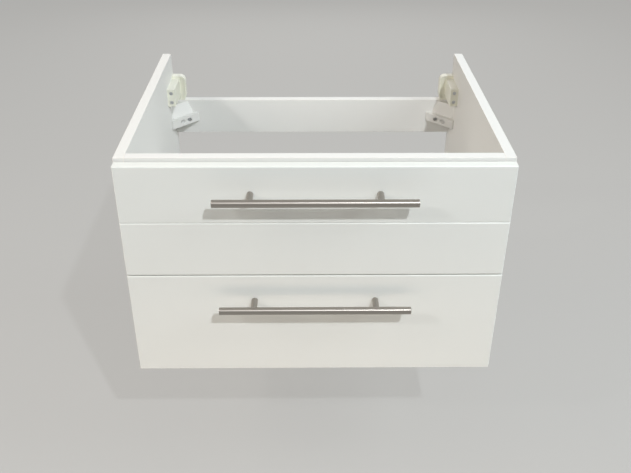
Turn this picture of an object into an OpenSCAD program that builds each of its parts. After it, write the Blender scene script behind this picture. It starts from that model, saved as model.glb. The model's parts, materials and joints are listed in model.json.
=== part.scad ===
// Wall-hung vanity base with two drawers on full-extension runners.
// Millimetres. +Z is up and the drawer fronts face -Y. X = 0 is the middle of
// the width, Y = 0 is half way from the handles to the wall, and Z = 0 is the
// underside. Right-hand pieces are drawn and left-hand ones are mirrored.

/* [Cabinet] */
// Width over both side panels
cabinet_w = 590; // [560:5:900]
// Height of the side panels
cabinet_h = 386; // [376:1:460]
// Depth of the side panels
side_depth = 472; // [460:1:560]
// Thickness of the cabinet boards
board_t = 16; // [15:0.5:19]
// Gap between the upper drawer box and the rail above it
front_rail_gap = 20; // [6:1:40]
// Height of each rear rail
rear_rail_h = 70; // [64:1:90]
// Distance from the top of the sides down to the upper rear rail
rear_rail_drop = 90; // [80:1:110]

/* [Drawer fronts] */
// Thickness of the fronts
front_t = 16; // [15:0.5:19]
// Height of the lower front; the upper one fills what is left
lower_front_h = 188.5; // [180:0.5:195]
// Gap between the two fronts
front_gap = 2; // [2:0.5:5]
// How far each front stays inside the side panels
side_reveal = 1; // [0:0.5:3]
// Distance from the top of the sides to the upper front
top_reveal = 6; // [2:0.5:10]
// Distance from the underside to the lower front
bottom_reveal = 2; // [0:0.5:6]
// Radius of the eased edges
front_edge_r = 1.5; // [0.5:0.25:3]
// Distance from the top of the upper front to its groove
groove_drop = 94; // [70:1:110]
// Width of the V groove
groove_w = 3; // [2:0.5:5]

/* [Bumpers] */
// Thickness of the bumpers that keep the fronts off the side panels
bumper_t = 2; // [1:0.5:3]
// Diameter of the bumpers
bumper_d = 10; // [6:1:12]
// Distance from a front's upper and lower edges to its bumpers
bumper_edge = 13; // [10:1:30]

/* [Handles] */
// Overall length of the bar
handle_len = 300; // [240:5:400]
// Diameter of the bar
handle_d = 12; // [11:0.5:14]
// Distance between the two posts
handle_spacing = 192; // [128:32:224]
// Distance from the front to the far side of the bar
handle_projection = 35; // [30:1:45]
// Diameter of the posts
handle_post_d = 10; // [8:0.5:10]
// Distance from the upper front's upper edge to its handle
upper_handle_drop = 44.5; // [30:0.5:60]
// Distance from the lower front's upper edge to its handle
lower_handle_drop = 46.5; // [30:0.5:60]
// Chamfer at the ends of the bar
handle_chamfer = 0.8; // [0.4:0.2:1.6]
// Distance from the bar's axis to the end of a post inside it
post_seat = 3; // [2:0.5:4]

/* [Drawer boxes] */
// Thickness of the box boards
box_t = 12; // [11:0.5:14]
// Thickness of the box bottoms
box_bottom_t = 5; // [4:0.5:6]
// Height of the bottom's groove above the lower edge
box_groove_rise = 8; // [6:0.5:12]
// Depth of the bottom's groove
box_groove_depth = 6; // [4:0.5:7]

/* [Upper drawer] */
// Height of the box
upper_box_h = 60; // [56:1:70]
// Depth of the box
upper_box_depth = 250; // [220:5:280]
// Height of the box above the lower edge of its front
upper_box_rise = 17.5; // [12:0.5:20]
// Width of the recess for the drain trap
trap_w = 200; // [140:5:260]
// Depth of the recess for the drain trap
trap_depth = 110; // [80:5:150]
// Length of the runners, which is also the drawer's travel
upper_runner_len = 250; // [200:10:280]
// Height of the runner's middle above the box's lower edge
upper_runner_rise = 30; // [26:1:32]

/* [Lower drawer] */
// Height of the box
lower_box_h = 120; // [90:1:130]
// Depth of the box
lower_box_depth = 400; // [340:5:410]
// Height of the box above the lower edge of its front
lower_box_rise = 28; // [20:1:34]
// Length of the runners, which is also the drawer's travel
lower_runner_len = 400; // [300:10:420]
// Height of the runner's middle above the box's lower edge
lower_runner_rise = 45; // [30:1:60]

/* [Runners] */
// Space that a runner fills between the side panel and the box
runner_space = 13; // [12.5:0.25:14]
// Height of the cabinet member
runner_h = 45.4; // [44:0.2:50]
// Thickness of the steel strip
runner_t = 1.2; // [1:0.1:1.3]
// Distance from the side panel's front edge to the runner
runner_setback = 2; // [2:1:10]
// Gap between the side panel and the middle member's web
mid_web_gap = 3; // [2.9:0.1:3.4]
// Diameter of the bearing balls
ball_d = 3.5; // [3:0.25:4]
// Distance from one ball to the next in its strip
ball_pitch = 20; // [10:1:30]
// Distance from a runner's front end to its first screw
runner_screw_front = 35; // [20:1:50]
// Distance from a runner's rear end to its last screw
runner_screw_rear = 60; // [50:1:70]

/* [Hangers] */
// Length of a hanger, from its front face to the wall side
hanger_len = 81; // [68:1:84]
// Width of the block that lies along the side panel
hanger_block_w = 14.5; // [14:0.5:18]
// Height of the block's front face
hanger_block_h = 34; // [31:0.5:35]
// Height of the block's underside above the rear rail
hanger_block_rise = 12; // [6:0.5:16]
// Width of the flange at the wall side
hanger_flange_w = 26; // [20:0.5:28]
// Thickness of the flange
hanger_flange_t = 14; // [10:0.5:18]
// Height of the flange, which stands on the rear rail
hanger_flange_h = 50; // [48:0.5:56]
// Distance between the two adjusting screws
hanger_screw_spacing = 18; // [17:0.5:20]
// How far the hook reaches out of the back
hook_reach = 10; // [6:1:10]
// How far the hook lifts
hook_lift = 8; // [4:1:8]
// Thickness of the hook's steel plate
hook_t = 3; // [2:0.5:4]

/* [Corner braces] */
// Length of the lower band's legs
brace_leg = 48; // [42:1:56]
// Height of the lower band
brace_band_h = 17; // [16:1:26]
// Length of the upper part's legs
brace_top_leg = 35; // [28:1:40]
// Height of the upper part
brace_top_h = 24; // [14:1:26]
// Distance from the rear rail's top edge to the brace
brace_drop = 2; // [0:0.5:4]
// Distance from the corner to each brace screw
brace_screw_at = 31; // [27:1:34]

/* [Joints between the boards] */
// Diameter of the cabinet dowels
dowel_d = 8; // [6:1:8]
// Length of the cabinet dowels
dowel_len = 30; // [25:1:35]
// Distance from a board's edge to its dowel
dowel_edge = 16; // [12:1:20]
// Diameter of the cam housings
cam_d = 15; // [12:1:16]
// Depth of the cam housings
cam_depth = 12.5; // [12:0.5:13.5]
// Distance from a board's end to the cam
cam_inset = 34; // [24:1:40]
// Distance from a board's edge to its cam
cam_edge = 20; // [18:1:24]
// Diameter of the cam bolts
cam_bolt_d = 6; // [5:0.5:7]
// Diameter of the drawer box dowels
box_dowel_d = 6; // [5:0.5:6]
// Length of the drawer box dowels
box_dowel_len = 24; // [20:1:30]
// Depth of a dowel's or a bolt's hole in the side panel
side_hole_depth = 11; // [9:0.5:13]

/* [Screws] */
// Diameter of the wood screws
screw_d = 3.5; // [3:0.25:4]
// Diameter of a wood screw's head
screw_head_d = 7; // [6:0.5:8]
// Height of a wood screw's head
screw_head_h = 1.4; // [1:0.1:1.4]
// Depth of a wood screw in the board that holds it
screw_bite = 10; // [8:0.5:11]
// Diameter of the machine screws in the handle posts
handle_screw_d = 4; // [3:0.5:5]
// Diameter of a handle screw's head
handle_head_d = 8; // [7:0.5:9]
// Height of a handle screw's head
handle_head_h = 2.6; // [2:0.1:3.5]
// Depth of a handle screw in its post
handle_screw_bite = 9; // [7:0.5:12]
// Diameter of the adjusting screws in the hangers
adjuster_d = 4; // [3:0.5:4.5]
// Diameter of an adjusting screw's head
adjuster_head_d = 6.6; // [6:0.2:7.4]

/* [Fits] */
// Gap all round a dowel, bolt, screw or post in its hole
hole_gap = 0.1; // [0.05:0.05:0.2]
// Gap beyond the end of a dowel or screw in a blind hole
end_gap = 0.5; // [0.2:0.1:1]
// Gap between a ball and each of its two races
ball_gap = 0.15; // [0.1:0.05:0.3]
// Gap round the moving pieces of a hanger
slide_gap = 0.3; // [0.2:0.05:0.5]
// Play of a box bottom in its groove
groove_gap = 0.2; // [0.1:0.05:0.4]

/* [Hidden] */
$fn = 48;
CUT = 1; // how far a cutter runs past a face

WHITE = [0.95, 0.95, 0.93];
MELAMINE = [0.93, 0.92, 0.88];
STEEL = [0.72, 0.71, 0.68];
ZINC = [0.78, 0.79, 0.80];
NYLON = [0.86, 0.86, 0.76];
BEECH = [0.80, 0.66, 0.46];
CLEAR = [0.85, 0.87, 0.87];

// Planes of the cabinet
cabinet_depth = front_t + bumper_t + side_depth;
y_front = handle_projection / 2 - cabinet_depth / 2;
y_rear = y_front + cabinet_depth;
y_box = y_front + front_t;
y_side = y_box + bumper_t;
x_out = cabinet_w / 2;
x_in = x_out - board_t;
z_rail = cabinet_h - rear_rail_drop;
z_upper_rail = z_rail - rear_rail_h;
z_lower_rail = board_t + rear_rail_h;
y_front_rail = y_side + board_t;
y_rear_rail = y_rear - board_t;

// Fronts: [lower edge, height, distance from the upper edge to the handle]
front_w = cabinet_w - 2 * side_reveal;
z_upper = bottom_reveal + lower_front_h + front_gap;
LOWER_FRONT = [bottom_reveal, lower_front_h, lower_handle_drop];
UPPER_FRONT = [z_upper, cabinet_h - top_reveal - z_upper, upper_handle_drop];

// Drawer boxes: [lower edge, height, depth]
box_x = x_in - runner_space;
LOWER_BOX = [bottom_reveal + lower_box_rise, lower_box_h, lower_box_depth];
UPPER_BOX = [z_upper + upper_box_rise, upper_box_h, upper_box_depth];
z_front_rail = UPPER_BOX[0] + upper_box_h + front_rail_gap;
box_floor_rise = box_groove_rise + box_bottom_t;
box_dowel_skin = 4;
box_dowel_bite = box_t - box_dowel_skin;
box_dowel_lift = 8;
box_dowel_drop = 10;

// Screws from the box front into the front, from the middle, the box side,
// the bottom and the box's upper edge
front_screw_inner_x = 60;
front_screw_inset = 45;
front_screw_lift = 12;
front_screw_drop = 14;

// Cross recesses in screw heads, as a share of the head's diameter
recess_share = 0.6;
recess_w = 1;
cam_recess_depth = 2;
adjuster_recess_depth = 1.2;

// Runners: [height of the middle, length]
LOWER_RUNNER = [LOWER_BOX[0] + lower_runner_rise, lower_runner_len];
UPPER_RUNNER = [UPPER_BOX[0] + upper_runner_rise, upper_runner_len];
y_runner = y_side + runner_setback;
race_gap = ball_d + 2 * ball_gap;
flange_clear = 2.2;
mid_half = runner_h / 2 - runner_t - race_gap;
inner_half = mid_half - runner_t - race_gap;
outer_reach = runner_space - flange_clear;
mid_to_inner = 1.4;
inner_start = mid_web_gap + runner_t + mid_to_inner;
ball_strip_w = 3;
ball_strip_t = 1;
ball_row_end = 6;
ball_fn = 24;

// Corner braces
z_brace = z_rail - brace_drop - brace_top_h - brace_band_h;
z_brace_screws = z_brace + brace_band_h / 2;
brace_cam_gap = 13.5;
brace_tip = 3;
brace_taper = 8;
brace_bore_d = screw_head_d + 2;
brace_head_cover = 3.5;
brace_seat = brace_leg + brace_tip - brace_screw_at - brace_bore_d / 2
    - brace_head_cover;

// Dowels and cams in the joints, as [y, z] on the side panel's inner face
front_rail_mid = y_side + board_t / 2;
rear_rail_mid = y_rear - board_t / 2;
bottom_dowel_in = 30;
bottom_cam_in = 62;
bottom_dowel_ys = [y_side + bottom_dowel_in, (y_side + y_rear) / 2,
                   y_rear_rail - bottom_dowel_in];
bottom_cam_ys = [y_side + bottom_cam_in, y_rear_rail - bottom_cam_in];
dowel_points = concat(
    [for (y = bottom_dowel_ys) [y, board_t / 2]],
    [[front_rail_mid, cabinet_h - dowel_edge]],
    [for (z = [z_rail, z_lower_rail]) [rear_rail_mid, z - dowel_edge]]
);
rail_cam_points = [
    [front_rail_mid, z_front_rail + cam_edge],
    [rear_rail_mid, z_brace_screws - brace_cam_gap],
    [rear_rail_mid, board_t + cam_edge]
];
bottom_cam_points = [for (y = bottom_cam_ys) [y, board_t / 2]];

// Hangers, measured from the wall plane and the rear rail's top edge
hanger_front = y_rear - hanger_len;
z_hanger = z_rail + hanger_block_rise;
z_adjusters = z_hanger + hanger_block_h / 2;
z_depth_screw = z_adjusters - hanger_screw_spacing / 2;
z_height_screw = z_adjusters + hanger_screw_spacing / 2;
hanger_back_gap = 2;
hanger_top_step = 6;
flange_corner_r = 11;
flange_foot_inset = 4;
flange_foot_h = 10;
flange_rim = 2.5;
flange_panel_edge = 0.5;
flange_panel_depth = 2;
hanger_peg_seat = 2.5;
adjuster_room = 1.5;
hanger_nose = 16;
hanger_peg_d = 10;
hanger_peg_front = 18;
hanger_peg_rear = 24;
hanger_peg_ys = [hanger_front + hanger_peg_front, y_rear - hanger_peg_rear];
cavity_u = 3;
cavity_w = hanger_block_w - 2 * cavity_u;
cavity_front = hanger_front + hanger_nose;
cavity_h = hanger_screw_spacing + adjuster_d + 2 * adjuster_room;
z_cavity = z_adjusters - cavity_h / 2;
carriage_start = 1;
carriage_front = cavity_front + carriage_start;
adjuster_grip = 3;
adjuster_tip = carriage_front + hook_reach + adjuster_grip;
adjuster_recess = 3;
adjuster_sunk = 0.5;
carriage_nose = hook_reach + adjuster_grip + carriage_start;
carriage_cheeks = 16;
carriage_len = carriage_nose + carriage_cheeks;
carriage_floor = 1;
u_middle = cavity_u + cavity_w / 2;
hook_root_h = cavity_h - hook_lift - 2 * (slide_gap + carriage_floor);
z_hook = z_cavity + 2 * slide_gap + carriage_floor;
hook_arm_h = 8;
hook_lip_short = 2;
hook_lip_h = hook_root_h - hook_lip_short;
hook_lip_t = 4;
hook_from_wall = 1;

// ---------------------------------------------------------------- helpers

// A right-hand piece, or its mirror image on the left
module on_side(side) {
    if (side > 0) children();
    else mirror([1, 0, 0]) children();
}

module both_sides() {
    for (side = [1, -1]) on_side(side) children();
}

// A rectangular board between two corners
module board(low, high) {
    translate(low) cube(high - low);
}

// A round rod from x0 to x1, or from y0 to y1
module rod_x(x0, x1, y, z, d) {
    translate([x0, y, z]) rotate([0, 90, 0]) cylinder(d = d, h = x1 - x0);
}

module rod_y(x, y0, y1, z, d) {
    translate([x, y0, z]) rotate([-90, 0, 0]) cylinder(d = d, h = y1 - y0);
}

// An outline in Y and Z drawn out along X, or one in X and Z along Y
module along_x(x0, x1) {
    translate([x0, 0, 0]) rotate([90, 0, 90]) linear_extrude(x1 - x0) children();
}

module along_y(y0, y1) {
    translate([0, y1, 0]) rotate([90, 0, 0]) linear_extrude(y1 - y0) children();
}

// Cuts two crossed slots into a screw head that faces along Y
module cross_recess(size, depth) {
    for (turn = [45, 135])
        rotate([0, turn, 0]) cube([size, 2 * depth, recess_w], center = true);
}

// ------------------------------------------------- joints between the boards

// Holes for every dowel and cam of the cabinet, cut from each board in turn
module cabinet_joint_holes() {
    in_board = dowel_len - side_hole_depth;
    both_sides() {
        for (p = dowel_points)
            rod_x(x_in - in_board - end_gap, x_in + side_hole_depth + end_gap,
                  p[0], p[1], dowel_d + 2 * hole_gap);
        for (p = concat(rail_cam_points, bottom_cam_points))
            rod_x(x_in - cam_inset, x_in + side_hole_depth + end_gap,
                  p[0], p[1], cam_bolt_d + 2 * hole_gap);
        at_cams() translate([0, 0, -cam_depth - hole_gap])
            cylinder(d = cam_d + 2 * hole_gap, h = cam_depth + hole_gap + CUT);
    }
}

// Places its child at each cam, with local Z out of the board's face
module at_cams() {
    for (p = rail_cam_points)
        translate([x_in - cam_inset, p[0] + board_t / 2, p[1]])
            rotate([-90, 0, 0]) children();
    for (p = bottom_cam_points)
        translate([x_in - cam_inset, p[0], 0]) rotate([180, 0, 0]) children();
}

module panel_dowels() color(BEECH) both_sides() {
    for (p = dowel_points)
        rod_x(x_in + side_hole_depth - dowel_len, x_in + side_hole_depth,
              p[0], p[1], dowel_d);
}

module cam_housings() color(ZINC) both_sides() at_cams() difference() {
    translate([0, 0, -cam_depth]) cylinder(d = cam_d, h = cam_depth);
    rod_x(0, cam_d, 0, -board_t / 2, cam_bolt_d + 1);
    rotate([90, 0, 0]) cross_recess(cam_d * recess_share, cam_recess_depth);
}

module cam_bolts() color(ZINC) both_sides() {
    for (p = concat(rail_cam_points, bottom_cam_points))
        rod_x(x_in - cam_inset + 1, x_in + side_hole_depth, p[0], p[1], cam_bolt_d);
}

// ------------------------------------------------------------------ cabinet

module side_panel(side) color(WHITE) on_side(side) difference() {
    board([x_in, y_side, 0], [x_out, y_rear, cabinet_h]);
    cabinet_joint_holes();
    for (runner = [LOWER_RUNNER, UPPER_RUNNER])
        for (y = runner_screw_ys(runner))
            rod_x(x_in - CUT, x_in + screw_bite + end_gap, y, runner[0],
                  screw_d + 2 * hole_gap);
    rod_x(x_in - CUT, x_in + screw_bite + end_gap, y_rear_rail - brace_screw_at,
          z_brace_screws, screw_d + 2 * hole_gap);
    for (y = hanger_peg_ys)
        rod_x(x_in - CUT, x_in + side_hole_depth + end_gap, y, z_adjusters,
              hanger_peg_d + 2 * hole_gap);
}

module bottom_panel() color(MELAMINE) difference() {
    board([-x_in, y_side, 0], [x_in, y_rear, board_t]);
    cabinet_joint_holes();
}

module front_rail() color(WHITE) difference() {
    board([-x_in, y_side, z_front_rail], [x_in, y_front_rail, cabinet_h]);
    cabinet_joint_holes();
}

module rear_rail_upper() color(WHITE) difference() {
    board([-x_in, y_rear_rail, z_upper_rail], [x_in, y_rear, z_rail]);
    cabinet_joint_holes();
    both_sides()
        rod_y(x_in - brace_screw_at, y_rear_rail - CUT,
              y_rear_rail + screw_bite + end_gap, z_brace_screws,
              screw_d + 2 * hole_gap);
}

module rear_rail_lower() color(WHITE) difference() {
    board([-x_in, y_rear_rail, board_t], [x_in, y_rear, z_lower_rail]);
    cabinet_joint_holes();
}

// Round bumpers on the side panels' front edges, two at each end of each front
module front_bumpers() color(CLEAR) both_sides() {
    for (front = [LOWER_FRONT, UPPER_FRONT])
        for (z = [front[0] + bumper_edge, front[0] + front[1] - bumper_edge])
            rod_y(x_in + board_t / 2, y_box, y_side, z, bumper_d);
}

// ------------------------------------------------------------ corner braces

// A right-angled wedge in plan with blunt tips, its corner at the origin
module wedge_plan(leg) {
    polygon([[0, 0], [leg, 0], [leg, brace_tip], [brace_tip, leg], [0, leg]]);
}

// Places plan shapes so that X runs inwards from the side panel and Y runs
// forwards from the rear rail
module in_corner() {
    translate([x_in, y_rear_rail, 0]) rotate(180) children();
}

// Leans the upper part's long face back towards the corner as it rises
module taper_cutter() {
    foot = (brace_top_leg + brace_tip) / sqrt(2);
    head = foot - (brace_tip + brace_taper) / sqrt(2);
    rotate([90, 0, 45]) linear_extrude(2 * brace_top_leg, center = true) polygon([
        [foot, 0],
        [head, brace_top_h],
        [head, brace_top_h + CUT],
        [foot + brace_leg, brace_top_h + CUT],
        [foot + brace_leg, 0]
    ]);
}

module corner_brace(side) color(NYLON) on_side(side) difference() {
    in_corner() {
        translate([0, 0, z_brace]) linear_extrude(brace_band_h) wedge_plan(brace_leg);
        translate([0, 0, z_brace + brace_band_h]) difference() {
            linear_extrude(brace_top_h) wedge_plan(brace_top_leg);
            taper_cutter();
        }
    }
    in_corner() translate([0, 0, z_brace_screws]) {
        rod_y(brace_screw_at, -CUT, brace_leg, 0, screw_d + 2 * hole_gap);
        rod_y(brace_screw_at, brace_seat, brace_leg, 0, brace_bore_d);
        rod_x(-CUT, brace_leg, brace_screw_at, 0, screw_d + 2 * hole_gap);
        rod_x(brace_seat, brace_leg, brace_screw_at, 0, brace_bore_d);
    }
}

module corner_brace_screws() color(ZINC) both_sides() in_corner()
    translate([0, 0, z_brace_screws]) {
        rod_y(brace_screw_at, -screw_bite, brace_seat, 0, screw_d);
        cross_head_y(brace_screw_at, brace_seat);
        rod_x(-screw_bite, brace_seat, brace_screw_at, 0, screw_d);
        mirror([1, -1, 0]) cross_head_y(brace_screw_at, brace_seat);
    }

// A screw head that faces +Y, with a cross recess
module cross_head_y(x, y) {
    height = 2 * screw_head_h;
    difference() {
        rod_y(x, y, y + height, 0, screw_head_d);
        translate([x, y + height, 0]) cross_recess(screw_head_d * recess_share, screw_head_h);
    }
}

// ------------------------------------------------------------------ hangers

// Places a hanger's parts so that X runs inwards from the side panel
module from_side() {
    translate([x_in, 0, 0]) mirror([1, 0, 0]) children();
}

// Outline of the flange, or of the panel that lies this far inside its edge
module flange_outline(inset = 0) {
    w = hanger_flange_w - inset;
    low = z_rail + inset;
    high = z_rail + hanger_flange_h - inset;
    r = flange_corner_r - inset;
    difference() {
        translate([0, low]) square([w, high - low]);
        translate([w - r, high - r]) difference() {
            square(r + CUT);
            circle(r);
        }
        polygon([
            [w - flange_foot_inset, low],
            [w, low + flange_foot_h],
            [w + CUT, low + flange_foot_h],
            [w + CUT, low - CUT],
            [w - flange_foot_inset, low - CUT]
        ]);
    }
}

// Shallow panel in the flange's front face, between the block and the rim
module flange_panel() {
    flange_front = y_rear - hanger_back_gap - hanger_flange_t;
    along_y(flange_front - CUT, flange_front + flange_panel_depth) intersection() {
        flange_outline(flange_rim);
        translate([hanger_block_w + flange_panel_edge, z_rail])
            square([hanger_flange_w, hanger_flange_h]);
    }
}

module hanger_body(side) color(NYLON) on_side(side) from_side() difference() {
    flange_back = y_rear - hanger_back_gap;
    union() {
        along_x(0, hanger_block_w) polygon([
            [hanger_front, z_hanger],
            [hanger_front, z_hanger + hanger_block_h],
            [flange_back, z_rail + hanger_flange_h - hanger_top_step],
            [flange_back, z_hanger]
        ]);
        along_y(flange_back - hanger_flange_t, flange_back) flange_outline();
        for (y = hanger_peg_ys)
            rod_x(-side_hole_depth, hanger_peg_seat, y, z_adjusters, hanger_peg_d);
    }
    flange_panel();
    board([cavity_u, cavity_front, z_cavity],
          [cavity_u + cavity_w, y_rear, z_cavity + cavity_h]);
    for (z = [z_depth_screw, z_height_screw]) {
        rod_y(u_middle, hanger_front - CUT, cavity_front + CUT, z,
              adjuster_d + 2 * slide_gap);
        rod_y(u_middle, hanger_front - CUT, hanger_front + adjuster_recess, z,
              adjuster_head_d + 2 * slide_gap);
    }
}

// Slides in the body's cavity and guides the hook between its two cheeks
module hanger_carriage(side) color(ZINC) on_side(side) from_side() difference() {
    board([cavity_u + slide_gap, carriage_front, z_cavity + slide_gap],
          [cavity_u + cavity_w - slide_gap, carriage_front + carriage_len,
           z_cavity + cavity_h - slide_gap]);
    board([u_middle - hook_t / 2 - slide_gap, carriage_front + carriage_nose,
           z_cavity + slide_gap + carriage_floor],
          [u_middle + hook_t / 2 + slide_gap, carriage_front + carriage_len + CUT,
           z_cavity + cavity_h]);
    for (z = [z_depth_screw, z_height_screw])
        rod_y(u_middle, carriage_front - CUT, carriage_front + carriage_nose + CUT, z,
              adjuster_d + 2 * slide_gap);
}

// Steel plate with a lip that points down behind the wall rail
module hanger_hook(side) color(STEEL) on_side(side) from_side()
    along_x(u_middle - hook_t / 2, u_middle + hook_t / 2) {
        root_front = carriage_front + carriage_nose + slide_gap;
        root_back = carriage_front + carriage_len;
        tip = y_rear - hook_from_wall;
        z_arm = z_hook + hook_root_h - hook_arm_h;
        polygon([
            [root_front, z_hook],
            [root_back, z_hook],
            [root_back, z_arm],
            [tip - hook_lip_t, z_arm],
            [tip - hook_lip_t, z_hook + hook_root_h - hook_lip_h],
            [tip, z_hook + hook_root_h - hook_lip_h],
            [tip, z_hook + hook_root_h],
            [root_front, z_hook + hook_root_h]
        ]);
    }

// Screw with its head in the recess of the hanger's front face
module adjusting_screw(side, z) color(ZINC) on_side(side) from_side() {
    head_front = hanger_front + adjuster_sunk;
    head_back = hanger_front + adjuster_recess - slide_gap;
    difference() {
        union() {
            rod_y(u_middle, head_front, head_back, z, adjuster_head_d);
            rod_y(u_middle, head_back, adjuster_tip, z, adjuster_d);
        }
        translate([u_middle, head_front, z])
            cross_recess(adjuster_head_d * recess_share, adjuster_recess_depth);
    }
}

// ------------------------------------------------------------------ runners

function runner_screw_ys(runner) = [
    y_runner + runner_screw_front,
    y_runner + runner[1] / 2,
    y_runner + runner[1] - runner_screw_rear
];

// Channel section: web of the strip's thickness at u0 and flanges to u1
module channel(u0, u1, half_h) {
    difference() {
        translate([u0, -half_h]) square([u1 - u0, 2 * half_h]);
        translate([u0 + runner_t, runner_t - half_h])
            square([u1 - u0, 2 * (half_h - runner_t)]);
    }
}

// A member of a runner: its section in u and height, drawn out along Y
module member(runner) {
    both_sides() from_side() translate([0, 0, runner[0]])
        along_y(y_runner, y_runner + runner[1]) children();
}

module runner_cabinet_members(runner) color(ZINC) difference() {
    member(runner) channel(0, outer_reach, runner_h / 2);
    both_sides() for (y = runner_screw_ys(runner))
        rod_x(x_in - runner_t - CUT, x_in + CUT, y, runner[0], screw_d + 2 * hole_gap);
}

module runner_middle_members(runner) color(ZINC)
    member(runner) channel(mid_web_gap, outer_reach, mid_half);

module runner_drawer_members(runner) color(ZINC) difference() {
    member(runner) translate([runner_space, 0]) mirror([1, 0])
        channel(0, runner_space - inner_start, inner_half);
    both_sides() for (y = runner_screw_ys(runner))
        rod_x(box_x - CUT, box_x + runner_t + CUT, y, runner[0], screw_d + 2 * hole_gap);
}

// One strip of balls along Y
module ball_strip(u, v, y0, y1) {
    count = floor((y1 - y0 - ball_d) / ball_pitch);
    start = (y0 + y1 - count * ball_pitch) / 2;
    board([u - ball_strip_w / 2, y0, v - ball_strip_t / 2],
          [u + ball_strip_w / 2, y1, v + ball_strip_t / 2]);
    for (i = [0 : count])
        translate([u, start + i * ball_pitch, v]) sphere(d = ball_d, $fn = ball_fn);
}

// Outer rows stay in the rear half and inner rows in the front half, where
// the middle member never leaves its neighbours
module runner_ball_strips(runner) color(STEEL) {
    outer_v = mid_half + race_gap / 2;
    inner_v = inner_half + race_gap / 2;
    outer_u = (mid_web_gap + outer_reach) / 2;
    inner_u = (inner_start + outer_reach) / 2;
    half_way = y_runner + runner[1] / 2;
    both_sides() from_side() translate([0, 0, runner[0]]) for (up = [1, -1]) {
        ball_strip(outer_u, up * outer_v, half_way + ball_row_end,
                   y_runner + runner[1] - ball_row_end);
        ball_strip(inner_u, up * inner_v, y_runner + ball_row_end,
                   half_way - ball_row_end);
    }
}

module runner_cabinet_screws() color(ZINC) both_sides()
    for (runner = [LOWER_RUNNER, UPPER_RUNNER])
        for (y = runner_screw_ys(runner)) {
            rod_x(x_in - runner_t, x_in + screw_bite, y, runner[0], screw_d);
            rod_x(x_in - runner_t - screw_head_h, x_in - runner_t, y, runner[0],
                  screw_head_d);
        }

module runner_drawer_screws(runner) color(ZINC) both_sides()
    for (y = runner_screw_ys(runner)) {
        rod_x(box_x - screw_bite, box_x + runner_t, y, runner[0], screw_d);
        rod_x(box_x + runner_t, box_x + runner_t + screw_head_h, y, runner[0],
              screw_head_d);
    }

// ------------------------------------------------------------- drawer fronts

// Section of a front: the two corners at x = 0 are rounded
module eased_section(thickness, length) {
    r = front_edge_r;
    translate([r, 0]) square([thickness - r, length]);
    translate([0, r]) square([thickness, length - 2 * r]);
    for (y = [r, length - r]) translate([r, y]) circle(r);
}

function front_screw_xs() = [
    for (k = [-1, 1]) for (x = [front_screw_inner_x, box_x - front_screw_inset]) k * x
];
function front_screw_zs(box) = [
    box[0] + box_floor_rise + front_screw_lift,
    box[0] + box[1] - front_screw_drop
];
function handle_z(front) = front[0] + front[1] - front[2];

module drawer_front(front, box) color(WHITE) difference() {
    intersection() {
        along_x(-front_w / 2, front_w / 2) translate([y_front, front[0]])
            eased_section(front_t, front[1]);
        translate([front_w / 2, y_front, front[0]]) linear_extrude(front[1])
            rotate(90) eased_section(front_t, front_w);
    }
    for (k = [-1, 1]) {
        rod_y(k * handle_spacing / 2, y_front - CUT, y_box + CUT, handle_z(front),
              handle_screw_d + 2 * hole_gap);
        rod_y(k * handle_spacing / 2, y_box - handle_head_h, y_box + CUT,
              handle_z(front), handle_head_d + 2 * hole_gap);
    }
    for (x = front_screw_xs()) for (z = front_screw_zs(box))
        rod_y(x, y_box - screw_bite - end_gap, y_box + CUT, z, screw_d + 2 * hole_gap);
}

module upper_front() color(WHITE) difference() {
    drawer_front(UPPER_FRONT, UPPER_BOX);
    along_x(-x_out, x_out)
        translate([y_front, UPPER_FRONT[0] + UPPER_FRONT[1] - groove_drop])
            rotate(45) square(groove_w / sqrt(2), center = true);
}

// ------------------------------------------------------------------ handles

module handle_bar(front) color(STEEL) {
    y_bar = y_front - handle_projection + handle_d / 2;
    straight = handle_len / 2 - handle_chamfer;
    difference() {
        union() {
            rod_x(-straight, straight, y_bar, handle_z(front), handle_d);
            both_sides() translate([straight, y_bar, handle_z(front)])
                rotate([0, 90, 0])
                    cylinder(d1 = handle_d, d2 = handle_d - 2 * handle_chamfer,
                             h = handle_chamfer);
        }
        for (k = [-1, 1])
            rod_y(k * handle_spacing / 2, y_bar + post_seat, y_front,
                  handle_z(front), handle_post_d + 2 * hole_gap);
    }
}

module handle_posts(front) color(STEEL) {
    post_end = y_front - handle_projection + handle_d / 2 + post_seat;
    for (k = [-1, 1]) difference() {
        rod_y(k * handle_spacing / 2, post_end, y_front, handle_z(front), handle_post_d);
        rod_y(k * handle_spacing / 2, y_front - handle_screw_bite - end_gap,
              y_front + CUT, handle_z(front), handle_screw_d + 2 * hole_gap);
    }
}

module handle_screws(front) color(ZINC) for (k = [-1, 1]) difference() {
    union() {
        rod_y(k * handle_spacing / 2, y_front - handle_screw_bite,
              y_box - handle_head_h, handle_z(front), handle_screw_d);
        rod_y(k * handle_spacing / 2, y_box - handle_head_h, y_box - hole_gap,
              handle_z(front), handle_head_d);
    }
    translate([k * handle_spacing / 2, y_box, handle_z(front)])
        cross_recess(handle_head_d * recess_share, handle_head_h / 2);
}

// ------------------------------------------------------------- drawer boxes

// Heights of the box's dowels, kept clear of the bottom
function box_dowel_zs(box) = [
    box[0] + box_floor_rise + box_dowel_lift,
    box[0] + box[1] - box_dowel_drop
];

// Dowels between the sides and the box front or back, longer by end_gap as holes
module box_dowel_rows(box, d, longer) {
    x1 = box_x - box_t + box_dowel_bite;
    both_sides()
        for (y = [y_box + box_t / 2, y_box + box[2] - box_t / 2])
            for (z = box_dowel_zs(box))
                rod_x(x1 - box_dowel_len - longer, x1 + longer, y, z, d);
}

module box_dowels(box) color(BEECH) box_dowel_rows(box, box_dowel_d, 0);

module box_dowel_holes(box) {
    box_dowel_rows(box, box_dowel_d + 2 * hole_gap, end_gap);
}

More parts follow.
